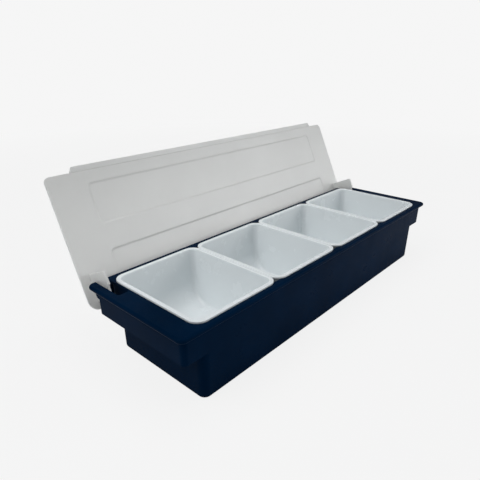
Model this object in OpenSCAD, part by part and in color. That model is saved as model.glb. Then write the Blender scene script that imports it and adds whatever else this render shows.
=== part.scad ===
// Condiment caddy: an ice tray, a row of lift-out inserts and one hinged lid over them all.
// Millimetres. X runs along the row, +Y points to the hinge side and Z is up.
// The origin lies on the table, under the middle of the tray. The lid is drawn open.

/* [Inserts] */
// Width of one insert over its rim, along the row
rim_w = 113; // [95:0.5:125]
// Depth of one insert over its rim, front to back
rim_d = 130; // [110:0.5:150]
// Thickness of the rim
rim_t = 2.4; // [1.6:0.1:4]
// Corner radius of the rim
rim_r = 12.5; // [10:0.5:18]
// Width of the rim's flat band, from its edge to the mouth
rim_band = 4.4; // [4.2:0.1:7]
// Corner radius of an insert's mouth
mouth_in_r = 8.5; // [6:0.5:12]
// Gap between two neighbouring rims
rim_gap = 0.5; // [0.3:0.1:2]
// Depth inside, from the top of the rim to the floor
insert_depth = 62; // [50:1:72]
// Wall thickness of an insert
insert_wall = 1.6; // [1.2:0.1:2.2]
// Slope of the insert's walls, in degrees
insert_draft = 9; // [7:0.5:10]
// Inside radius of the scoop, where the long walls run into the floor
scoop_r = 28; // [20:1:32]
// Inside radius between the scoop and the end walls
scoop_end_r = 5; // [3:0.5:7]

/* [Tray] */
// Height of the deck above the table
tray_h = 84; // [80:1:100]
// Wall thickness of the tray
tray_wall = 2.4; // [2:0.1:3]
// Thickness of the tray's floor
tray_floor = 2.4; // [2:0.1:4]
// Slope of the tray's walls, in degrees
tray_draft = 1.2; // [1:0.1:3]
// Corner radius of the tub at its foot
tub_r = 10; // [8:0.5:14]
// Radius between the outer walls and the bottom
foot_r = 4; // [2:0.5:6]
// Overlap of the rims on the deck, front and back
seat_y = 2.4; // [1.5:0.1:4]
// Overlap of the rims on the deck, at the two ends of the row
seat_x = 1.4; // [1:0.1:3]
// Ledge of the deck inside the tub's long walls
ledge_y = 2.1; // [1.5:0.1:4]
// Ledge of the deck inside the tub's end walls
ledge_x = 0.4; // [0.2:0.1:2]
// Clearance between the inserts at the two ends and the tub's lower end walls
jog_play = 1.3; // [0.3:0.1:3]
// Number of ribs on the back wall that the open lid leans on
rest_n = 4; // [2:1:6]
// Thickness of one of these ribs
rest_t = 2.4; // [1.6:0.1:4]
// Length of a rib's slanted face under the open lid
rest_l = 5; // [3:0.5:8]
// Distance from the tub's end walls to the outermost ribs
rest_inset = 24; // [15:1:60]

/* [Deck and end housings] */
// Thickness of the deck
deck_t = 3; // [2.4:0.1:4]
// Height of the housings' lower edge above the table
housing_z = 52.3; // [46:0.1:56]
// Length of one housing, from the tub's end wall to its own end wall
housing_l = 16.6; // [15:0.1:24]
// Corner radius of the housings
housing_r = 6; // [4:0.5:9]
// Thickness of the flange's nose
flange_t = 5.4; // [4:0.1:7]
// Reach of the flange past the housings' end walls
flange_x = 5.2; // [4:0.1:8]
// Reach of the flange past the front wall
flange_y = 4.4; // [3:0.1:6]
// Reach of the flange past the back wall
flange_back = 8.2; // [5:0.1:9]
// Corner radius of the flange
flange_r = 7; // [6:0.5:12]

/* [Lid] */
// Thickness of the lid
lid_t = 2; // [1.5:0.1:3]
// Gap between the closed lid and the rims
lid_gap = 1.2; // [0.8:0.1:2]
// Overhang of the lid past the flange, at the two ends
lid_over_x = 0; // [0:0.1:4]
// Distance of the closed lid's bend behind the front of the flange
lid_short_y = 6.5; // [4:0.1:8]
// Distance from the pins to the rear edge of the closed lid
lid_rear = 16.4; // [15.8:0.1:18.4]
// Corner radius of the lid at the front
lid_front_r = 6; // [3:0.5:10]
// Corner radius of the lid at the back
lid_back_r = 12.5; // [8:0.5:16]
// Angle from closed to open, in degrees
lid_open = 115.5; // [100:0.5:120]
// Width of the front lip, by which the lid is lifted
lip_w = 6.4; // [4:0.1:9]
// Angle of the lip below the plane of the lid, in degrees
lip_angle = 8; // [4:1:30]
// Distance from the end of the lid to the end of the lip
lip_inset = 29; // [20:1:60]
// Slant of the lip's ends, along the row
lip_slant = 3.5; // [0:0.5:8]
// Corner radius of the lip
lip_r = 1.5; // [0.5:0.5:3]
// Height of the two raised panels
panel_h = 0.8; // [0.5:0.1:1.2]
// Width of one raised panel, front to back
panel_w = 49; // [35:1:50]
// Corner radius of a raised panel
panel_r = 6; // [3:0.5:12]
// Distance between the two raised panels
panel_gap = 26; // [20:0.5:40]
// Distance from the middle of the lid to the middle between the panels, towards the hinge
panel_shift = 1.9; // [0:0.1:4]
// Distance from the end of the lid to the end of a panel
panel_inset = 42; // [30:1:70]

/* [Hinge] */
// Depth of the pins below the deck's top
pin_drop = 10.7; // [10.2:0.1:13]
// Distance of the pins inside the back wall's outer face
pin_inside = 2.8; // [2.6:0.1:6]
// Radius of a hinge pin
pin_r = 2.5; // [2:0.1:3]
// Radial clearance of a pin in its socket
pin_fit = 0.05; // [0.02:0.01:0.1]
// Radius of the boss round a socket
boss_r = 4.4; // [4:0.1:5]
// Height of the boss inside the housing's end wall
boss_h = 2; // [1.5:0.1:3]
// Plastic left behind a socket
socket_skin = 1.6; // [1:0.1:2]
// Thickness of a hinge ear
ear_t = 2.3; // [1.8:0.1:3]
// Side play between an ear and its boss
ear_play = 0.5; // [0.3:0.1:1]
// Reach of an ear in front of its pin
ear_reach = 22.2; // [19:0.1:25]
// Depth of an ear below the lid
ear_depth = 34; // [30:0.5:36]
// Radius of the ear's eye round the pin
ear_eye_r = 8; // [6:0.5:10]
// Clearance of the flange from the swinging lid
swing_gap = 0.4; // [0.3:0.1:1]
// Clearance of the ears along the row, in their slots
slot_play = 1; // [0.6:0.1:2]
// Clearance in front of the ears as they swing through the deck
slot_front = 4; // [1:0.1:6]
// Corner radius of the slots
slot_r = 3; // [1:0.5:4]
// Corner radius of the ears
ear_r = 2.5; // [1:0.5:4]

/* [Hidden] */
NODES = ["tray", "lid", "insert_1", "insert_2", "insert_3", "insert_4"];
$fn = 48;

eps = 0.01;
over = 1;
row_n = len(NODES) - 2;
pitch = rim_w + rim_gap;
rim_top = tray_h + rim_t;
tray_slope = thousandths(tan(tray_draft));
insert_slope = tan(insert_draft);
rest_gap = 0.3;
edge_r = 0.8;
scoop_steps = 8;
fine = 96;

// Half sizes of the mouth in the deck and of the walls, at the deck's top
mouth_x = (row_n * pitch - rim_gap) / 2 - seat_x;
mouth_y = rim_d / 2 - seat_y;
mouth_r = rim_r - seat_x;
end_x = mouth_x + ledge_x + tray_wall;
side_y = mouth_y + ledge_y + tray_wall;
step_z = housing_z + tray_wall;
jog = tenths(end_x - tray_wall - lean(step_z) - jog_play - insert_end(step_z));
skirt_x = end_x + housing_l;
nose_x = skirt_x + flange_x;
nose_y = side_y + flange_y;
back_y = side_y + flange_back;

// A length cut down to tenths of a millimetre
function tenths(l) = floor(l * 10) / 10;

// A slope in whole thousandths, so that walls built in two steps lie in one plane
function thousandths(s) = round(s * 1000) / 1000;

// Inward lean of a tray wall at height z, measured from the deck's top
function lean(z) = (tray_h - z) * tray_slope;

// Outer end of the row of insert bodies at height z
function insert_end(z) = (row_n - 1) / 2 * pitch + rim_w / 2 - rim_band + insert_wall
    - (rim_top - z) * insert_slope;

// Hinge axis, and the ears in the closed position
pin_y = side_y - pin_inside;
pin_z = tray_h - pin_drop;
ear_x = skirt_x - lean(pin_z) - tray_wall - boss_h - ear_play;
ear_front = pin_y - ear_reach;
lid_under = rim_top + lid_gap;
ear_low = lid_under - ear_depth;
ear_corner_r = norm([ear_reach, ear_low - pin_z]);
slot_x = ear_x + slot_play;
slot_y = pin_y - sqrt(pow(ear_corner_r, 2) - pow(pin_drop - deck_t, 2)) - slot_front;
socket_x = skirt_x - lean(pin_z) - socket_skin;
pin_tip_x = socket_x - ear_play;
boss_x = skirt_x - lean(pin_z - boss_r) - rest_gap;

// Closed lid
lid_x = nose_x + lid_over_x;
lid_front = lid_short_y - nose_y;
lid_back = pin_y + lid_rear;
lid_d = lid_back - lid_front;
lid_mid = (lid_front + lid_back) / 2;

// Point on the ribs' slanted face, just inside the open lid, t behind the pins along the lid
function rest(t) = let (d = lid_under - pin_z - rest_gap)
    [pin_y + d * sin(lid_open) + t * cos(lid_open), pin_z + d * cos(lid_open) - t * sin(lid_open)];

// A solid with a rounded rectangular outline. The child is its edge profile, drawn from
// the corners' axis at x = -r out to the outline at x = 0, from z0 up to z1.
module rounded(hx, hy, r, z0, z1) {
    for (a = [0, 180]) rotate(a) {
        translate([hx - r, hy - r]) corner(r, z0, z1) children();
        translate([r - hx, hy - r]) rotate(90) corner(r, z0, z1) children();
        rotate([90, 0, 90]) linear_extrude(2 * (hx - r), center = true)
            translate([hy, 0]) children();
        rotate([90, 0, 0]) linear_extrude(2 * (hy - r), center = true)
            translate([hx, 0]) children();
    }
    translate([r - hx, r - hy, z0]) cube([2 * (hx - r), 2 * (hy - r), z1 - z0]);
}

// One quarter of such a solid's corner
module corner(r, z0, z1) {
    rotate_extrude(angle = 90) intersection() {
        translate([r, 0]) children();
        translate([0, z0]) square([2 * r, z1 - z0]);
    }
}

// Edge profile of a leaning wall: its outline is met at height z_ref
module leaning(r, z0, z1, z_ref, slope) {
    polygon([[-r, z0], [(z0 - z_ref) * slope, z0], [(z1 - z_ref) * slope, z1], [-r, z1]]);
}

// The same with the lower edge rounded by f. The arc stands a hair proud and is cut by the wall.
module leaning_foot(r, z0, z1, z_ref, slope, f) {
    a = atan(slope);
    cx = (z0 + f - z_ref) * slope - f / cos(a) + 2 * eps;
    intersection() {
        leaning(r, z0, z1, z_ref, slope);
        union() {
            translate([cx, z0 + f]) circle(f);
            translate([-r, z0]) square([r + cx, f]);
            translate([-r, z0 + f - f * sin(a)]) square([r + f, z1 - z0]);
        }
    }
}

// Plain upright edge profile
module upright(r, z0, z1) {
    translate([-r, z0]) square([r, z1 - z0]);
}

// Edge profile with a half-round nose
module nosed(r, z0, z1) {
    n = (z1 - z0) / 2;
    translate([-r, z0]) square([r - n, z1 - z0]);
    intersection() {
        translate([-n, z0 + n]) circle(n);
        translate([-n, z0]) square([n, z1 - z0]);
    }
}

// Outside of the tub, below the deck
module tub_outside() {
    rounded(end_x - jog, side_y, tub_r, 0, step_z)
        leaning_foot(tub_r, 0, step_z, tray_h, tray_slope, foot_r);
}

// Hollow of the tub, wider above the jog
module tub_hollow() {
    r = tub_r - tray_wall / 2;
    rounded(end_x - jog - tray_wall, side_y - tray_wall, r, tray_floor, step_z + over)
        leaning_foot(r, tray_floor, step_z + over, tray_h, tray_slope, foot_r - tray_wall / 2);
    rounded(end_x - tray_wall, side_y - tray_wall, r, step_z, tray_h - deck_t)
        leaning(r, step_z, tray_h - deck_t, tray_h, tray_slope);
    rounded(mouth_x, mouth_y, mouth_r, tray_h - deck_t - over, tray_h + over)
        upright(mouth_r, tray_h - deck_t - over, tray_h + over);
}

// Half of the flange round the deck, with a half-round nose. It reaches out to y = hy.
module half_flange(hy) {
    intersection() {
        rounded(nose_x, hy, flange_r, tray_h - flange_t, tray_h)
            nosed(flange_r, tray_h - flange_t, tray_h);
        translate([-nose_x - over, 0, 0]) cube([2 * (nose_x + over), hy + over, tray_h + over]);
    }
}

// The flange. Its rear edge follows the swing of the lid about the pins.
module flange() {
    mirror([0, 1, 0]) half_flange(nose_y);
    intersection() {
        half_flange(back_y);
        union() {
            translate([0, pin_y, pin_z]) rotate([0, 90, 0])
                cylinder(r = lid_under - pin_z - swing_gap, h = 2 * (nose_x + over), center = true,
                    $fn = fine);
            translate([-nose_x - over, 0, 0]) cube([2 * (nose_x + over), pin_y, tray_h + over]);
        }
    }
}

// Hollow of the two end housings, open below
module housing_hollow() {
    in_r = housing_r - tray_wall / 2;
    z1 = tray_h - deck_t;
    difference() {
        rounded(skirt_x - tray_wall, side_y - tray_wall, in_r, housing_z - over, z1)
            leaning(in_r, housing_z - over, z1, tray_h, tray_slope);
        rounded(end_x, side_y + over, tub_r, housing_z - 2 * over, tray_h)
            leaning(tub_r, housing_z - 2 * over, tray_h, tray_h, tray_slope);
    }
}

// Slots for the hinge ears, through the deck and out through the back wall
module ear_slots() {
    r = slot_r;
    w = slot_x - end_x;
    for (s = [0, 1]) mirror([s, 0, 0]) {
        translate([end_x, slot_y + r, housing_z - over])
            cube([w, back_y - slot_y, tray_h - housing_z + 2 * over]);
        translate([end_x + r, slot_y, tray_h - deck_t - eps])
            cube([w - 2 * r, back_y, deck_t + over]);
        for (x = [end_x + r, slot_x - r]) translate([x, slot_y + r, tray_h - deck_t - eps])
            cylinder(r = r, h = deck_t + over);
    }
}

// Ribs on the back wall. The lid leans on their slanted faces when it stands open.
module rests() {
    low = rest(lid_rear - rest_t / 2);
    high = rest(lid_rear - rest_t / 2 - rest_l);
    far = end_x - jog - rest_inset;
    for (i = [0 : rest_n - 1]) translate([far * (2 * i / (rest_n - 1) - 1), 0, 0])
        rotate([90, 0, 90]) linear_extrude(rest_t, center = true)
            polygon([low, high, [side_y - tray_wall, high[1] + rest_l],
                [side_y - tray_wall, low[1] - rest_t]]);
}

// Bosses of the sockets. They reach through the end walls and stand a little out of the back wall.
module sockets_outside() {
    for (s = [0, 1]) mirror([s, 0, 0]) translate([ear_x + ear_play, pin_y, pin_z])
        rotate([0, 90, 0]) cylinder(r = boss_r, h = boss_x - ear_x - ear_play);
}

module sockets() {
    for (s = [0, 1]) mirror([s, 0, 0]) translate([ear_x, pin_y, pin_z])
        rotate([0, 90, 0]) cylinder(r = pin_r + pin_fit, h = socket_x - ear_x);
}

module tray() {
    color([0.06, 0.09, 0.14]) difference() {
        union() {
            difference() {
                union() {
                    tub_outside();
                    rounded(skirt_x, side_y, housing_r, housing_z, tray_h)
                        leaning(housing_r, housing_z, tray_h, tray_h, tray_slope);
                    flange();
                    rests();
                }
                tub_hollow();
                housing_hollow();
                ear_slots();
            }
            sockets_outside();
        }
        sockets();
    }
}

// Plan of the closed lid, with its two pairs of corner radii
module lid_plan() {
    for (s = [0, 1]) mirror([s, 0, 0]) {
        translate([lid_x - lid_front_r, lid_front + lid_front_r]) circle(lid_front_r);
        translate([lid_x - lid_back_r, lid_back - lid_back_r]) circle(lid_back_r);
    }
    translate([lid_front_r - lid_x, lid_front]) square([2 * (lid_x - lid_front_r), lid_d / 2]);
    translate([-lid_x, lid_front + lid_front_r])
        square([2 * lid_x, lid_d - lid_front_r - lid_back_r]);
    translate([lid_back_r - lid_x, lid_mid]) square([2 * (lid_x - lid_back_r), lid_d / 2]);
}

// One raised panel with sloping edges, its foot at z and its size grown by g
module panel(y, z, g) {
    r = panel_r + g;
    translate([0, y, 0]) rounded(lid_x - panel_inset + g, panel_w / 2 + g, r, z, z + panel_h)
        polygon([[-r, z], [0, z], [-panel_h, z + panel_h], [-r, z + panel_h]]);
}

// Lip along the front edge, a little bent, with slanted ends and round corners
module lip() {
    l = lid_x - lip_inset;
    side = norm([lip_slant, lip_w]);
    c = [l - (lip_slant * (lip_w - lip_r) + lip_r * side) / lip_w, lip_r - lip_w];
    t = c + lip_r / side * [lip_w, -lip_slant];
    translate([0, lid_front, lid_under + lid_t]) rotate([lip_angle, 0, 0])
        translate([0, 0, -lid_t]) linear_extrude(lid_t) {
            polygon([[-l, 0], [l, 0], t, [c[0], -lip_w], [-c[0], -lip_w], [-t[0], t[1]]]);
            for (x = [-c[0], c[0]]) translate([x, c[1]]) circle(lip_r);
        }
}

// Ear seen from the side: a plate under the lid, rounded about the pin behind it
module ear_side() {
    r = ear_r;
    tip = ear_eye_r * cos(45);
    translate([ear_front, ear_low + r]) square([ear_reach, lid_under + eps - ear_low - r]);
    translate([ear_front + r, ear_low + r]) circle(r);
    translate([pin_y, pin_z]) circle(ear_eye_r);
    polygon([[ear_front + r, ear_low], [pin_y - ear_eye_r, ear_low], [pin_y + tip, pin_z - tip],
        [pin_y + ear_eye_r, pin_z], [pin_y + ear_eye_r, lid_under + eps],
        [ear_front + r, lid_under + eps]]);
}

module lid_closed() {
    panel_y = (panel_gap + panel_w) / 2;
    difference() {
        union() {
            translate([0, 0, lid_under]) linear_extrude(lid_t) lid_plan();
            for (s = [-1, 1]) panel(lid_mid + panel_shift + s * panel_y, lid_under + lid_t - eps, 0);
            lip();
            for (s = [0, 1]) mirror([s, 0, 0]) {
                translate([ear_x - ear_t, 0, 0]) rotate([90, 0, 90])
                    linear_extrude(ear_t) ear_side();
                translate([ear_x - ear_t / 2, pin_y, pin_z]) rotate([0, 90, 0])
                    cylinder(r = pin_r, h = pin_tip_x - ear_x + ear_t / 2);
            }
        }
        for (s = [-1, 1]) panel(lid_mid + panel_shift + s * panel_y, lid_under - eps, -lid_t / 2);
    }
}

module lid() {
    color([0.80, 0.81, 0.80]) translate([0, pin_y, pin_z]) rotate([-lid_open, 0, 0])
        translate([0, -pin_y, -pin_z]) lid_closed();
}

// Solid of an insert's body up to z_top, grown by w. The long walls run into the floor in a scoop.
module insert_block(w, z_top) {
    r = scoop_r - scoop_end_r;
    z = rim_top - insert_depth + scoop_r;
    y = rim_d / 2 - rim_band - (rim_top - z) * insert_slope - scoop_r / cos(insert_draft);
    rise = (z_top - rim_top) * insert_slope;
    hull() for (sx = [-1, 1], sy = [-1, 1]) {
        translate([sx * (rim_w / 2 - rim_band + rise - mouth_in_r),
            sy * (rim_d / 2 - rim_band + rise - mouth_in_r), z_top - eps])
            cylinder(r = mouth_in_r + w, h = eps, $fn = 32);
        for (i = [0 : scoop_steps]) let (a = insert_draft + i / scoop_steps * (90 - insert_draft),
            zs = z - r * sin(a), inset = (rim_top - zs) * insert_slope)
            translate([sx * (rim_w / 2 - rim_band - inset - scoop_end_r / cos(insert_draft)),
                sy * (y + r * cos(a)), zs]) sphere(scoop_end_r + w, $fn = 24);
    }
}

// Rounding along the inner edge of the rim
module mouth_edge() {
    rounded(rim_w / 2 - rim_band, rim_d / 2 - rim_band, mouth_in_r, rim_top - edge_r, rim_top + eps)
        difference() {
            translate([-mouth_in_r, rim_top - edge_r]) square([mouth_in_r + edge_r, edge_r + eps]);
            translate([edge_r, rim_top - edge_r]) circle(edge_r);
        }
}

// Insert number i, counted from the left
module insert(i) {
    color([0.93, 0.94, 0.95]) translate([(i - (row_n + 1) / 2) * pitch, 0, 0]) difference() {
        union() {
            insert_block(insert_wall, rim_top - rim_t / 2);
            rounded(rim_w / 2, rim_d / 2, rim_r, tray_h, rim_top) union() {
                upright(rim_r, tray_h, rim_top - edge_r);
                translate([-edge_r, rim_top - edge_r]) circle(edge_r);
                translate([-rim_r, rim_top - edge_r]) square([rim_r - edge_r, edge_r]);
            }
        }
        insert_block(0, rim_top + over);
        mouth_edge();
    }
}

tray();
lid();
insert(1);  // insert_1
insert(2);  // insert_2
insert(3);  // insert_3
insert(4);  // insert_4
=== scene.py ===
"""Condiment caddy: finishes, moulded detail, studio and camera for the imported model."""

import math

import bmesh
import bpy
from bpy.props import FloatProperty, FloatVectorProperty, IntProperty, PointerProperty
from bpy.types import Operator, Panel, PropertyGroup
from mathutils import Matrix, Vector


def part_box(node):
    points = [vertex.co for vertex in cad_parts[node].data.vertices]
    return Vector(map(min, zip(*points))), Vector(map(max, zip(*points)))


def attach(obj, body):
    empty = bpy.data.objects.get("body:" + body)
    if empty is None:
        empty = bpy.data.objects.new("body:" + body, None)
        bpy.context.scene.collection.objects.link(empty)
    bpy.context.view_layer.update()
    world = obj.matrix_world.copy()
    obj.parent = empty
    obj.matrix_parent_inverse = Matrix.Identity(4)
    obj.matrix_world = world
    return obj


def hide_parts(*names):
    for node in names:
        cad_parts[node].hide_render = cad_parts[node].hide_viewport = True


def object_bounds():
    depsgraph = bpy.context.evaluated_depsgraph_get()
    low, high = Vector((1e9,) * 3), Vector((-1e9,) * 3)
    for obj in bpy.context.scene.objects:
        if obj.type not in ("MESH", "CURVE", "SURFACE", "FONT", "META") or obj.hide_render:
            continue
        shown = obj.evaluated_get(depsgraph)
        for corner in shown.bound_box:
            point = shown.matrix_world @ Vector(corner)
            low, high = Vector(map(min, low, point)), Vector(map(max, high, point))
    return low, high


bl_info = {
    "name": "Condiment Caddy",
    "version": (1, 0, 0),
    "blender": (4, 5, 0),
    "location": "View3D > Sidebar > Caddy",
    "description": "Finishes and moulded detail for a condiment caddy, with its studio",
    "category": "Add Mesh",
}

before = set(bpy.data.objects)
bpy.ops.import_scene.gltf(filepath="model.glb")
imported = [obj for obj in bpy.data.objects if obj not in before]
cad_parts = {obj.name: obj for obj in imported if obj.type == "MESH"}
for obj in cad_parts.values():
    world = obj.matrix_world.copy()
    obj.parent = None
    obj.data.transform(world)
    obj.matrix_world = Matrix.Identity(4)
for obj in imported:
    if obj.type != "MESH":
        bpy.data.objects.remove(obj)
CAD_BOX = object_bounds()
INSERTS = sorted(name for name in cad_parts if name.startswith("insert_"))
MM = 0.001


# ---------------------------------------------------------------- settings


class CaddySizes(PropertyGroup):
    """Sizes of the moulded detail."""

    arris: FloatProperty(
        name="Arris",
        description="Rounding of the moulded edges of the tray",
        default=0.5 * MM,
        min=0.1 * MM,
        max=1.0 * MM,
        subtype="DISTANCE",
        unit="LENGTH",
    )
    lid_arris: FloatProperty(
        name="Lid arris",
        description="Rounding of the edges of the lid",
        default=0.4 * MM,
        min=0.1 * MM,
        max=0.8 * MM,
        subtype="DISTANCE",
        unit="LENGTH",
    )
    panel_ramp: FloatProperty(
        name="Panel ramp",
        description="How much wider the sloping sides of the lid's panels are than deep",
        default=1.3 * MM,
        min=0.1 * MM,
        max=2.0 * MM,
        subtype="DISTANCE",
        unit="LENGTH",
    )
    bend_groove: FloatProperty(
        name="Bend groove",
        description="Half the width of the groove where the lip bends away",
        default=1.2 * MM,
        min=0.3 * MM,
        max=2.0 * MM,
        subtype="DISTANCE",
        unit="LENGTH",
    )
    arris_steps: IntProperty(
        name="Arris steps",
        description="Number of facets across a rounded edge",
        default=3,
        min=1,
        max=6,
    )
    rim_band: FloatProperty(
        name="Rim band",
        description="Width of the flat band round the mouth of an insert",
        default=4.4 * MM,
        min=3.0 * MM,
        max=7.0 * MM,
        subtype="DISTANCE",
        unit="LENGTH",
    )
    rim_depth: FloatProperty(
        name="Rim thickness",
        description="Thickness of an insert's rim",
        default=2.4 * MM,
        min=1.6 * MM,
        max=4.0 * MM,
        subtype="DISTANCE",
        unit="LENGTH",
    )
    rim_corner: FloatProperty(
        name="Rim corner",
        description="Corner radius of an insert's rim",
        default=12.5 * MM,
        min=10.0 * MM,
        max=18.0 * MM,
        subtype="DISTANCE",
        unit="LENGTH",
    )
    mouth_corner: FloatProperty(
        name="Mouth corner",
        description="Corner radius of an insert's mouth",
        default=8.5 * MM,
        min=6.0 * MM,
        max=12.0 * MM,
        subtype="DISTANCE",
        unit="LENGTH",
    )
    rim_rounding: FloatProperty(
        name="Rim rounding",
        description="Rounding of the two upper edges of an insert's rim",
        default=0.8 * MM,
        min=0.3 * MM,
        max=1.1 * MM,
        subtype="DISTANCE",
        unit="LENGTH",
    )
    insert_depth: FloatProperty(
        name="Insert depth",
        description="Depth of an insert from the top of its rim to its floor",
        default=62 * MM,
        min=50 * MM,
        max=72 * MM,
        subtype="DISTANCE",
        unit="LENGTH",
    )
    insert_wall: FloatProperty(
        name="Insert wall",
        description="Wall thickness of an insert",
        default=1.6 * MM,
        min=1.2 * MM,
        max=2.2 * MM,
        subtype="DISTANCE",
        unit="LENGTH",
    )
    insert_slope: FloatProperty(
        name="Insert slope",
        description="Slope of an insert's walls",
        default=math.radians(9),
        min=math.radians(7),
        max=math.radians(10),
        subtype="ANGLE",
        unit="ROTATION",
    )
    scoop: FloatProperty(
        name="Scoop",
        description="Radius in which the long walls of an insert run into its floor",
        default=28 * MM,
        min=20 * MM,
        max=32 * MM,
        subtype="DISTANCE",
        unit="LENGTH",
    )
    scoop_fillet: FloatProperty(
        name="Scoop fillet",
        description="Radius between the scoop of an insert and its end walls",
        default=5 * MM,
        min=3 * MM,
        max=7 * MM,
        subtype="DISTANCE",
        unit="LENGTH",
    )


class CaddyColours(PropertyGroup):
    """Colours of the plastics and of the studio."""

    tray: FloatVectorProperty(
        name="Tray plastic",
        description="Base colour of the dark tray",
        subtype="COLOR",
        size=3,
        min=0.0,
        max=1.0,
        default=(0.0004, 0.0088, 0.028),
    )
    lid: FloatVectorProperty(
        name="Lid plastic",
        description="Base colour of the frosted lid",
        subtype="COLOR",
        size=3,
        min=0.0,
        max=1.0,
        default=(0.80, 0.805, 0.79),
    )
    insert: FloatVectorProperty(
        name="Insert plastic",
        description="Base colour of the white inserts",
        subtype="COLOR",
        size=3,
        min=0.0,
        max=1.0,
        default=(0.76, 0.805, 0.82),
    )
    backdrop: FloatVectorProperty(
        name="Backdrop",
        description="Colour of the paper on the floor",
        subtype="COLOR",
        size=3,
        min=0.0,
        max=1.0,
        default=(0.90, 0.90, 0.90),
    )
    background: FloatVectorProperty(
        name="Background",
        description="Colour of the plain background behind the floor",
        subtype="COLOR",
        size=3,
        min=0.0,
        max=1.0,
        default=(0.92, 0.92, 0.92),
    )


# ---------------------------------------------------------------- materials

# Range in which nearly all values of a noise lie
NOISE_MIDDLE = (0.3, 0.7)
# Distance that light travels inside the pale plastics
SCATTER_DEPTH = 4 * MM
# Heights between which painted shade darkens the lid's colour from full tone to its darker top,
# and the tones at those heights
LID_PAINTED_SHADE_HEIGHTS = (0.08, 0.19)
LID_PAINTED_SHADE_TONES = (1.0, 0.86)


class Nodes:
    """Builds the node tree of one material or world."""

    def __init__(self, material):
        self.tree = material.node_tree
        self.tree.nodes.clear()
        self.x = -1400

    def add(self, kind, **values):
        """Adds a node and sets its attributes or, where it has none so named, its sockets."""
        node = self.tree.nodes.new(kind)
        node.location = (self.x, 0)
        self.x += 180
        for key, value in values.items():
            if hasattr(node, key):
                setattr(node, key, value)
            else:
                node.inputs[key].default_value = value
        return node

    def link(self, source, output, target, socket):
        """Joins an output to a socket, both given by name or number."""
        self.tree.links.new(source.outputs[output], target.inputs[socket])


def new_material(name):
    """An empty material and the builder of its nodes."""
    material = bpy.data.materials.new(name)
    material.use_nodes = True
    return material, Nodes(material)


def mottled(nodes, colour, scale, spread):
    """Object-space noise that shifts a colour a little lighter and darker."""
    coords = nodes.add("ShaderNodeTexCoord")
    noise = nodes.add("ShaderNodeTexNoise", Scale=scale, Detail=4.0, Roughness=0.6)
    ramp = nodes.add("ShaderNodeValToRGB")
    low, high = ramp.color_ramp.elements
    low.position, high.position = NOISE_MIDDLE
    low.color = (*[c * (1 - spread) for c in colour], 1)
    high.color = (*[min(1.0, c * (1 + spread)) for c in colour], 1)
    nodes.link(coords, "Object", noise, "Vector")
    nodes.link(noise, "Fac", ramp, "Fac")
    return coords, ramp


def grain(nodes, coords, scale, strength, distance):
    """Fine moulded grain as bump."""
    noise = nodes.add("ShaderNodeTexNoise", Scale=scale, Detail=3.0, Roughness=0.55)
    bump = nodes.add("ShaderNodeBump", Strength=strength, Distance=distance)
    nodes.link(coords, "Object", noise, "Vector")
    nodes.link(noise, "Fac", bump, "Height")
    return bump


def map_range(nodes, source, target):
    """Maps one range of values, given as its two ends, onto another."""
    mapped = nodes.add("ShaderNodeMapRange")
    mapped.inputs["From Min"].default_value, mapped.inputs["From Max"].default_value = source
    mapped.inputs["To Min"].default_value, mapped.inputs["To Max"].default_value = target
    return mapped


def varied_roughness(nodes, coords, scale, low, high):
    """Roughness that wanders between two values."""
    noise = nodes.add("ShaderNodeTexNoise", Scale=scale, Detail=5.0, Roughness=0.6)
    spread = map_range(nodes, NOISE_MIDDLE, (low, high))
    nodes.link(coords, "Object", noise, "Vector")
    nodes.link(noise, "Fac", spread, "Value")
    return spread


def plastic(nodes, colour, rough, bump, shader):
    """Joins colour, roughness and grain to a plastic's shader, and that to its output."""
    output = nodes.add("ShaderNodeOutputMaterial")
    nodes.link(*colour, shader, "Base Color")
    nodes.link(rough, "Result", shader, "Roughness")
    nodes.link(bump, "Normal", shader, "Normal")
    nodes.link(shader, "BSDF", output, "Surface")


def scatter(shader, weight):
    """Lets light scatter under the surface, evenly for all colours."""
    shader.inputs["Subsurface Weight"].default_value = weight
    shader.inputs["Subsurface Radius"].default_value = (1.0, 1.0, 1.0)
    shader.inputs["Subsurface Scale"].default_value = SCATTER_DEPTH


def tray_plastic(colours):
    """Very dark navy plastic, satin, with fine grain."""
    material, nodes = new_material("tray_plastic")
    coords, ramp = mottled(nodes, colours.tray, scale=14.0, spread=0.2)
    rough = varied_roughness(nodes, coords, scale=40.0, low=0.26, high=0.38)
    bump = grain(nodes, coords, scale=900.0, strength=0.12, distance=0.2 * MM)
    shader = nodes.add("ShaderNodeBsdfPrincipled")
    shader.inputs["IOR"].default_value = 1.5
    shader.inputs["Specular IOR Level"].default_value = 0.012
    shader.inputs["Specular Tint"].default_value = (0.15, 0.5, 1.0, 1)
    plastic(nodes, (ramp, "Color"), rough, bump, shader)
    return material


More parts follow.
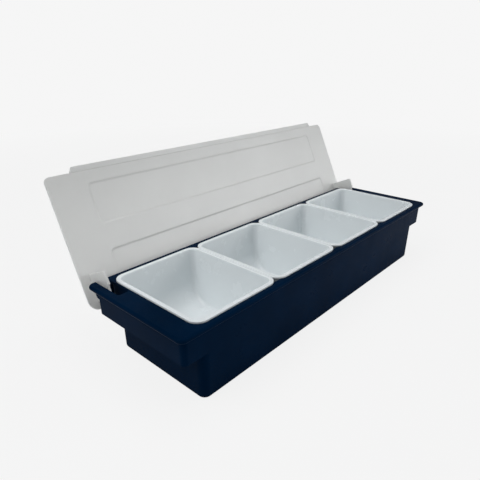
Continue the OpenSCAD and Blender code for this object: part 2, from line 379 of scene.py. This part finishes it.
def lid_plastic(colours):
    """Frosted, slightly see-through plastic, with painted shade that darkens it towards the
    top.
    """
    material, nodes = new_material("lid_plastic")
    coords, ramp = mottled(nodes, colours.lid, scale=9.0, spread=0.03)
    # Painted shade: the colour is scaled darker with height, up to the lid's top
    along = nodes.add("ShaderNodeSeparateXYZ")
    painted_shade = map_range(nodes, LID_PAINTED_SHADE_HEIGHTS, LID_PAINTED_SHADE_TONES)
    painted_shade_colour = nodes.add("ShaderNodeVectorMath", operation="SCALE")
    nodes.link(coords, "Object", along, "Vector")
    nodes.link(along, "Z", painted_shade, "Value")
    nodes.link(ramp, "Color", painted_shade_colour, 0)
    nodes.link(painted_shade, "Result", painted_shade_colour, "Scale")
    rough = varied_roughness(nodes, coords, scale=30.0, low=0.38, high=0.48)
    bump = grain(nodes, coords, scale=1400.0, strength=0.10, distance=0.1 * MM)
    shader = nodes.add("ShaderNodeBsdfPrincipled")
    shader.inputs["IOR"].default_value = 1.58
    shader.inputs["Specular IOR Level"].default_value = 0.9
    scatter(shader, 0.6)
    shader.inputs["Transmission Weight"].default_value = 0.30
    plastic(nodes, (painted_shade_colour, "Vector"), rough, bump, shader)
    return material


def insert_plastic(colours):
    """Smooth white plastic with a faint blue cast."""
    material, nodes = new_material("insert_plastic")
    coords, ramp = mottled(nodes, colours.insert, scale=12.0, spread=0.015)
    rough = varied_roughness(nodes, coords, scale=35.0, low=0.20, high=0.30)
    bump = grain(nodes, coords, scale=700.0, strength=0.05, distance=0.1 * MM)
    shader = nodes.add("ShaderNodeBsdfPrincipled")
    scatter(shader, 0.4)
    shader.inputs["IOR"].default_value = 1.5
    plastic(nodes, (ramp, "Color"), rough, bump, shader)
    return material


# ---------------------------------------------------------------- meshes

# Points closer than this are one point
WELD = 0.002 * MM
# Faces that meet at less than this lie in one plane
SAME_PLANE = math.radians(0.3)
# Edges sharper than this stay sharp in the shading
SHARP = math.radians(50)
# How strongly the large faces rule the shading, out of 100
FLATNESS = 90
# Smallest angle that is rounded, on the tray and on the lid
TRAY_LEAST = math.radians(28)
LID_LEAST = math.radians(18)


def add_piece(name, mesh, body, material, replaced):
    """Puts a finished mesh in the scene, on its body."""
    piece = bpy.data.objects.new(name, mesh)
    bpy.context.scene.collection.objects.link(piece)
    mesh.materials.clear()
    mesh.materials.append(material)
    for polygon in mesh.polygons:
        polygon.use_smooth = True
    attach(piece, body)
    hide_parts(replaced)
    return piece


def cleaned_copy(node, name):
    """A copy of a frame node's mesh, welded and with its flat faces merged."""
    mesh = bpy.data.meshes.new(name)
    bm = bmesh.new()
    bm.from_mesh(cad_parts[node].data)
    bmesh.ops.remove_doubles(bm, verts=bm.verts, dist=WELD)
    bmesh.ops.dissolve_limit(
        bm,
        angle_limit=SAME_PLANE,
        use_dissolve_boundaries=False,
        verts=bm.verts,
        edges=bm.edges,
        delimit={"NORMAL"},
    )
    bm.to_mesh(mesh)
    bm.free()
    return mesh


def round_arrises(piece, width, steps, least):
    """Rounds the moulded edges and keeps the large faces flat in their shading."""
    bevel = piece.modifiers.new("arrises", "BEVEL")
    bevel.width = width
    bevel.segments = steps
    bevel.limit_method = "ANGLE"
    bevel.angle_limit = least
    bevel.use_clamp_overlap = True
    bevel.miter_outer = "MITER_ARC"
    keep_flats(piece)


def keep_flats(piece):
    """Shades the large faces flat and the small ones between them round."""
    piece.data.set_sharp_from_angle(angle=SHARP)
    normals = piece.modifiers.new("flat faces", "WEIGHTED_NORMAL")
    normals.keep_sharp = True
    normals.weight = FLATNESS


# ---------------------------------------------------------------- inserts

# Facets in a corner, down a wall, along a scoop and across a rounded edge
CORNER_STEPS = 8
WALL_STEPS = 4
SCOOP_STEPS = 16
ROUNDING_STEPS = 4
# Size of the rim's lower edge against that of its upper ones
NICK = 1 / 3


class Pan:
    """The measures of one insert, about its own middle."""

    def __init__(self, node, sizes):
        low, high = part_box(node)
        self.sizes = sizes
        self.middle = (low.x + high.x) / 2
        self.half_x, self.half_y = (high.x - low.x) / 2, (high.y - low.y) / 2
        self.top = high.z
        self.tan = math.tan(sizes.insert_slope)
        self.cos = math.cos(sizes.insert_slope)
        self.sin = math.sin(sizes.insert_slope)
        self.arc_z = self.top - sizes.insert_depth + sizes.scoop
        self.arc_y = self.wall(self.half_y, self.arc_z) - sizes.scoop / self.cos
        self.arc_start = self.arc_z - sizes.scoop * self.sin

    def wall(self, half, z):
        """Distance of a wall's inner face from the middle, at height z."""
        return half - self.sizes.rim_band - (self.top - z) * self.tan

    def section(self, z, grow):
        """Half sizes and corner radius of the level section at height z."""
        down = min(1.0, (self.top - z) / (self.top - self.arc_start))
        mouth, fillet = self.sizes.mouth_corner, self.sizes.scoop_fillet
        out = grow / self.cos
        return (
            self.wall(self.half_x, z) + out,
            self.wall(self.half_y, z) + out,
            mouth + (fillet - mouth) * down + out,
        )


def level_corner(half_x, half_y, radius, z):
    """One quarter of a rounded rectangle, from its end side to its long side."""
    points = []
    for step in range(CORNER_STEPS + 1):
        turn = math.pi / 2 * step / CORNER_STEPS
        points.append(
            Vector(
                (
                    half_x - radius + radius * math.cos(turn),
                    half_y - radius + radius * math.sin(turn),
                    z,
                )
            )
        )
    return points


def ball_corner(pan, y, z, outward, grow):
    """The same quarter where a ball rolls along the scoop and the end wall."""
    fillet = pan.sizes.scoop_fillet
    centre = Vector((0, y, z)) - fillet * outward
    centre.x = pan.wall(pan.half_x, centre.z) - fillet / pan.cos
    end_wall = Vector((pan.cos, 0, -pan.sin))
    return [
        centre + (fillet + grow) * end_wall.slerp(outward, step / CORNER_STEPS)
        for step in range(CORNER_STEPS + 1)
    ]


def skin_rows(pan, start_z, grow):
    """Quarter rows of an insert's skin, from start_z down to the flat floor."""
    scoop = pan.sizes.scoop
    upright = Vector((0, pan.cos, -pan.sin))
    rows = []
    for step in range(WALL_STEPS + 1):
        part = step / WALL_STEPS
        z = start_z + (pan.arc_start - start_z) * part
        level = level_corner(*pan.section(z, grow), z)
        ball = ball_corner(pan, pan.wall(pan.half_y, z), z, upright, grow)
        rows.append([a.lerp(b, part * part) for a, b in zip(level, ball)])
    for step in range(1, SCOOP_STEPS + 1):
        turn = pan.sizes.insert_slope
        turn += (math.pi / 2 - turn) * step / SCOOP_STEPS
        outward = Vector((0, math.cos(turn), -math.sin(turn)))
        y = pan.arc_y + scoop * math.cos(turn)
        z = pan.arc_z - scoop * math.sin(turn)
        rows.append(ball_corner(pan, y, z, outward, grow))
    return rows


def full_loop(bm, quarter, middle):
    """Mirrors a quarter row to all four corners and adds it to the mesh as a ring."""
    ring = []
    for sx, sy, order in ((1, 1, 1), (-1, 1, -1), (-1, -1, 1), (1, -1, -1)):
        for p in quarter[::order]:
            ring.append(bm.verts.new((middle + sx * p.x, sy * p.y, p.z)))
    return ring


def join_rings(bm, upper, lower):
    """Adds the faces between two rings."""
    count = len(upper)
    for i in range(count):
        j = (i + 1) % count
        bm.faces.new((upper[i], upper[j], lower[j], lower[i]))


def close_skin(bm, rows, middle, first):
    """Adds an insert's walls, scoop and floor below its first ring."""
    n = CORNER_STEPS + 1
    rings = [first] + [full_loop(bm, row, middle) for row in rows[1:]]
    for upper, lower in zip(rings, rings[1:]):
        for corner in range(4):
            start = corner * n
            for i in range(start, start + n - 1):
                bm.faces.new((upper[i], upper[i + 1], lower[i + 1], lower[i]))
        for i in (n - 1, 3 * n - 1):
            bm.faces.new((upper[i], upper[i + 1], lower[i + 1], lower[i]))
    last = rings[-1]
    for i in range(n - 1):
        bm.faces.new((last[i], last[i + 1], last[4 * n - 2 - i], last[4 * n - 1 - i]))
        bm.faces.new((last[n + i], last[n + i + 1], last[3 * n - 2 - i], last[3 * n - 1 - i]))
    bm.faces.new((last[n - 1], last[n], last[3 * n - 1], last[3 * n]))
    right = [ring[0] for ring in rings] + [ring[-1] for ring in rings[::-1]]
    left = [ring[2 * n - 1] for ring in rings] + [ring[2 * n] for ring in rings[::-1]]
    bm.faces.new(right)
    bm.faces.new(left)


def insert_mesh(node, sizes):
    """A whole insert: inner skin, rounded rim and outer skin."""
    pan = Pan(node, sizes)
    edge = sizes.rim_rounding
    under = pan.top - sizes.rim_depth
    bm = bmesh.new()
    inner = skin_rows(pan, pan.top - edge, 0)
    outer = skin_rows(pan, under, sizes.insert_wall)
    mouth = full_loop(bm, inner[0], pan.middle)
    mouth_x, mouth_y, corner = pan.section(pan.top - edge, 0)
    quarters = []
    for step in range(1, ROUNDING_STEPS + 1):
        turn = math.pi / 2 * step / ROUNDING_STEPS
        out = edge * (1 - math.cos(turn))
        z = pan.top - edge * (1 - math.sin(turn))
        quarters.append(level_corner(mouth_x + out, mouth_y + out, corner + out, z))
    for step in range(ROUNDING_STEPS + 1):
        turn = math.pi / 2 * step / ROUNDING_STEPS
        back = edge * (1 - math.sin(turn))
        z = pan.top - edge * (1 - math.cos(turn))
        quarters.append(
            level_corner(pan.half_x - back, pan.half_y - back, sizes.rim_corner - back, z)
        )
    nick = edge * NICK
    quarters.append(level_corner(pan.half_x, pan.half_y, sizes.rim_corner, under + nick))
    quarters.append(
        level_corner(pan.half_x - nick, pan.half_y - nick, sizes.rim_corner - nick, under)
    )
    ring = mouth
    for quarter in quarters:
        following = full_loop(bm, quarter, pan.middle)
        join_rings(bm, ring, following)
        ring = following
    body = full_loop(bm, outer[0], pan.middle)
    join_rings(bm, ring, body)
    close_skin(bm, inner, pan.middle, mouth)
    close_skin(bm, outer, pan.middle, body)
    bmesh.ops.recalc_face_normals(bm, faces=bm.faces)
    mesh = bpy.data.meshes.new(node + "_shell")
    bm.to_mesh(mesh)
    bm.free()
    return mesh


# ---------------------------------------------------------------- lid

# Depths below the inner face between which the panels' floors lie
PANEL_DEPTHS = (0.5 * MM, 1.0 * MM)
# The bend of the lip is the one long edge with an angle between these
BEND_ANGLES = (math.radians(4), math.radians(14))
BEND_LENGTH = 0.3
# Depth of the groove along it, and reach of its deepest line, against its half width
GROOVE_DEPTH = 0.25
GROOVE_REACH = 0.4


def soften_panels(mesh, sizes):
    """Widens the sloping sides of the lid's two sunk panels, on its inner face."""
    bm = bmesh.new()
    bm.from_mesh(mesh)
    plate = max(
        (f for f in bm.faces if f.normal.y < 0 < f.normal.z), key=lambda f: f.calc_area()
    )
    origin, inward = plate.verts[0].co.copy(), plate.normal.copy()
    moves = {}
    for vert in bm.verts:
        depth = (vert.co - origin).dot(inward)
        if not PANEL_DEPTHS[0] < -depth < PANEL_DEPTHS[1]:
            continue
        for edge in vert.link_edges:
            other = edge.other_vert(vert)
            rise = (other.co - vert.co).dot(inward)
            if rise > PANEL_DEPTHS[0]:
                side = other.co - vert.co - rise * inward
                moves[vert] = -sizes.panel_ramp * side.normalized()
    for vert, move in moves.items():
        vert.co += move
    bm.to_mesh(mesh)
    bm.free()


def groove_bend(mesh, sizes):
    """Presses a shallow groove where the lip bends away from the lid's plate."""
    bm = bmesh.new()
    bm.from_mesh(mesh)
    bends = [
        e
        for e in bm.edges
        if len(e.link_faces) == 2
        and abs(e.verts[0].co.x - e.verts[1].co.x) > BEND_LENGTH
        and BEND_ANGLES[0] < e.calc_face_angle() < BEND_ANGLES[1]
        and e.link_faces[0].normal.y < 0
    ]
    if len(bends) != 1:
        raise RuntimeError("the bend of the lip was not found")
    normal = (bends[0].link_faces[0].normal + bends[0].link_faces[1].normal).normalized()
    line = [v.co.copy() for v in bends[0].verts]
    made = bmesh.ops.bevel(
        bm, geom=bends, offset=sizes.bend_groove, segments=2, profile=0.5, affect="EDGES"
    )
    for vert in made["verts"]:
        if min((vert.co - end).length for end in line) < GROOVE_REACH * sizes.bend_groove:
            vert.co -= sizes.bend_groove * GROOVE_DEPTH * normal
    bm.to_mesh(mesh)
    bm.free()


# ---------------------------------------------------------------- stage

CAMERA_PLACE = (-0.4405, -0.3110, 0.2996)
CAMERA_YAW = 47.495
CAMERA_PITCH = -22.60
CAMERA_ROLL = -0.113
CAMERA_LENS = 33.606
CAMERA_SENSOR = 36.0
CAMERA_CLIP = (0.01, 50)
# The floor reaches past the end of sight, a little under the part
FLOOR_HALF = 60.0
FLOOR_CELLS = 8
FLOOR_GAP = 0.2 * MM
# Strength and colour of the light from all round
SOFT_LIGHT = 0.24
SOFT_COLOUR = (0.93, 0.96, 1.0, 1)
# Share of the paper that the camera sees as background near the part, and the distances between
# which that goes up to the whole
PAPER_GLOW = 0.92
FADE = (0.5, 1.6)
# Name, place, two sides in metres and watts of each lamp, all of them aimed at one point
LAMP_TARGET = (0, 0, 0.06)
SOFTBOXES = (
    ("left", (-1.0, 0.25, 1.1), (0.8, 0.8), 8.0),
    ("right", (1.1, -1.1, 0.55), (1.2, 1.0), 10.0),
    ("top", (0, 0.1, 1.6), (1.0, 1.0), 8.0),
)


def aim(yaw, pitch, roll):
    """Rotation of a camera that looks yaw degrees right of +Y and pitch degrees up."""
    return (
        Matrix.Rotation(-math.radians(yaw), 4, "Z")
        @ Matrix.Rotation(math.radians(90 + pitch), 4, "X")
        @ Matrix.Rotation(math.radians(roll), 4, "Z")
    )


def softbox(name, place, size, power):
    """Adds one soft lamp."""
    light = bpy.data.lights.new(name, "AREA")
    light.shape = "RECTANGLE"
    light.size, light.size_y = size
    light.energy = power
    lamp = bpy.data.objects.new(name, light)
    lamp.location = place
    way = Vector(LAMP_TARGET) - Vector(place)
    lamp.rotation_euler = way.to_track_quat("-Z", "Y").to_euler()
    bpy.context.scene.collection.objects.link(lamp)


def seen_rays(nodes):
    """1 for what the camera sees, directly or through the frosted lid."""
    rays = nodes.add("ShaderNodeLightPath")
    either = nodes.add("ShaderNodeMath", operation="MAXIMUM")
    nodes.link(rays, "Is Camera Ray", either, 0)
    nodes.link(rays, "Is Transmission Ray", either, 1)
    return either


def backdrop_material(colours):
    """Pale paper. The camera sees it almost as bright as the background behind it."""
    material, nodes = new_material("backdrop_paper")
    coords, ramp = mottled(nodes, colours.backdrop, scale=3.0, spread=0.003)
    paper = nodes.add("ShaderNodeBsdfPrincipled", Roughness=0.9)
    glow = nodes.add("ShaderNodeEmission", Color=(*colours.background, 1), Strength=1.0)
    away = nodes.add("ShaderNodeVectorMath", operation="LENGTH")
    fade = map_range(nodes, FADE, (PAPER_GLOW, 1.0))
    seen = seen_rays(nodes)
    share = nodes.add("ShaderNodeMath", operation="MULTIPLY")
    mix = nodes.add("ShaderNodeMixShader")
    output = nodes.add("ShaderNodeOutputMaterial")
    nodes.link(coords, "Object", away, 0)
    nodes.link(away, "Value", fade, "Value")
    nodes.link(seen, "Value", share, 0)
    nodes.link(fade, "Result", share, 1)
    nodes.link(ramp, "Color", paper, "Base Color")
    nodes.link(share, "Value", mix, "Fac")
    nodes.link(paper, "BSDF", mix, 1)
    nodes.link(glow, "Emission", mix, 2)
    nodes.link(mix, "Shader", output, "Surface")
    return material


def studio_world(colours):
    """Soft light all round, with a plain pale background for the camera."""
    world = bpy.data.worlds.new("studio")
    world.use_nodes = True
    nodes = Nodes(world)
    soft = nodes.add("ShaderNodeBackground", Color=SOFT_COLOUR, Strength=SOFT_LIGHT)
    plain = nodes.add("ShaderNodeBackground", Color=(*colours.background, 1), Strength=1.0)
    seen = seen_rays(nodes)
    mix = nodes.add("ShaderNodeMixShader")
    output = nodes.add("ShaderNodeOutputWorld")
    nodes.link(seen, "Value", mix, "Fac")
    nodes.link(soft, "Background", mix, 1)
    nodes.link(plain, "Background", mix, 2)
    nodes.link(mix, "Shader", output, "Surface")
    return world


def add_floor(colours):
    """Adds the sheet of paper that the part stands on."""
    mesh = bpy.data.meshes.new("floor")
    bm = bmesh.new()
    bmesh.ops.create_grid(
        bm, x_segments=FLOOR_CELLS, y_segments=FLOOR_CELLS, size=FLOOR_HALF
    )
    bm.to_mesh(mesh)
    bm.free()
    floor = bpy.data.objects.new("floor", mesh)
    floor.location = (0, 0, CAD_BOX[0].z - FLOOR_GAP)
    mesh.materials.append(backdrop_material(colours))
    bpy.context.scene.collection.objects.link(floor)


def add_camera():
    """Adds the camera and makes it the scene's own."""
    data = bpy.data.cameras.new("camera")
    data.lens = CAMERA_LENS
    data.sensor_width = CAMERA_SENSOR
    data.clip_start, data.clip_end = CAMERA_CLIP
    camera = bpy.data.objects.new("camera", data)
    camera.matrix_world = Matrix.Translation(CAMERA_PLACE) @ aim(
        CAMERA_YAW, CAMERA_PITCH, CAMERA_ROLL
    )
    bpy.context.scene.collection.objects.link(camera)
    bpy.context.scene.camera = camera


# ---------------------------------------------------------------- operators


class CADDY_OT_tray(Operator):
    """Builds the dark tray with rounded arrises"""

    bl_idname = "caddy.tray"
    bl_label = "Tray"

    def execute(self, context):
        sizes, colours = context.scene.caddy_sizes, context.scene.caddy_colours
        mesh = cleaned_copy("tray", "tray_shell")
        piece = add_piece(
            "tray_shell", mesh, "tray", tray_plastic(colours), "tray"
        )
        round_arrises(piece, sizes.arris, sizes.arris_steps, TRAY_LEAST)
        return {"FINISHED"}


class CADDY_OT_lid(Operator):
    """Builds the frosted lid with its ears"""

    bl_idname = "caddy.lid"
    bl_label = "Lid"

    def execute(self, context):
        sizes, colours = context.scene.caddy_sizes, context.scene.caddy_colours
        mesh = cleaned_copy("lid", "lid_shell")
        soften_panels(mesh, sizes)
        groove_bend(mesh, sizes)
        piece = add_piece(
            "lid_shell", mesh, "lid", lid_plastic(colours), "lid"
        )
        round_arrises(piece, sizes.lid_arris, sizes.arris_steps, LID_LEAST)
        return {"FINISHED"}


class CADDY_OT_inserts(Operator):
    """Builds the white lift-out inserts"""

    bl_idname = "caddy.inserts"
    bl_label = "Inserts"

    def execute(self, context):
        sizes, colours = context.scene.caddy_sizes, context.scene.caddy_colours
        material = insert_plastic(colours)
        for node in INSERTS:
            mesh = insert_mesh(node, sizes)
            piece = add_piece(
                node + "_shell", mesh, node, material, node
            )
            keep_flats(piece)
        return {"FINISHED"}


class CADDY_OT_stage(Operator):
    """Makes the floor, the lamps, the world and the camera"""

    bl_idname = "caddy.stage"
    bl_label = "Stage"

    def execute(self, context):
        scene = context.scene
        add_floor(scene.caddy_colours)
        scene.world = studio_world(scene.caddy_colours)
        for lamp in SOFTBOXES:
            softbox(*lamp)
        scene.view_settings.view_transform = "Standard"
        add_camera()
        return {"FINISHED"}


class CADDY_PT_panel(Panel):
    """Lists the sizes, the colours and the steps"""

    bl_label = "Condiment Caddy"
    bl_idname = "CADDY_PT_panel"
    bl_space_type = "VIEW_3D"
    bl_region_type = "UI"
    bl_category = "Caddy"

    def draw(self, context):
        layout = self.layout
        for group in (context.scene.caddy_sizes, context.scene.caddy_colours):
            box = layout.box()
            for key in group.__annotations__:
                box.prop(group, key)
        for step in STEPS:
            layout.operator(step.bl_idname)


STEPS = (CADDY_OT_tray, CADDY_OT_lid, CADDY_OT_inserts, CADDY_OT_stage)
CLASSES = (CaddySizes, CaddyColours, *STEPS, CADDY_PT_panel)


def register():
    for cls in CLASSES:
        bpy.utils.register_class(cls)
    bpy.types.Scene.caddy_sizes = PointerProperty(type=CaddySizes)
    bpy.types.Scene.caddy_colours = PointerProperty(type=CaddyColours)


def unregister():
    del bpy.types.Scene.caddy_colours
    del bpy.types.Scene.caddy_sizes
    for cls in reversed(CLASSES):
        bpy.utils.unregister_class(cls)


def main():
    """Builds everything."""
    register()
    bpy.ops.caddy.tray()
    bpy.ops.caddy.lid()
    bpy.ops.caddy.inserts()
    bpy.ops.caddy.stage()


if __name__ == "__main__":
    main()
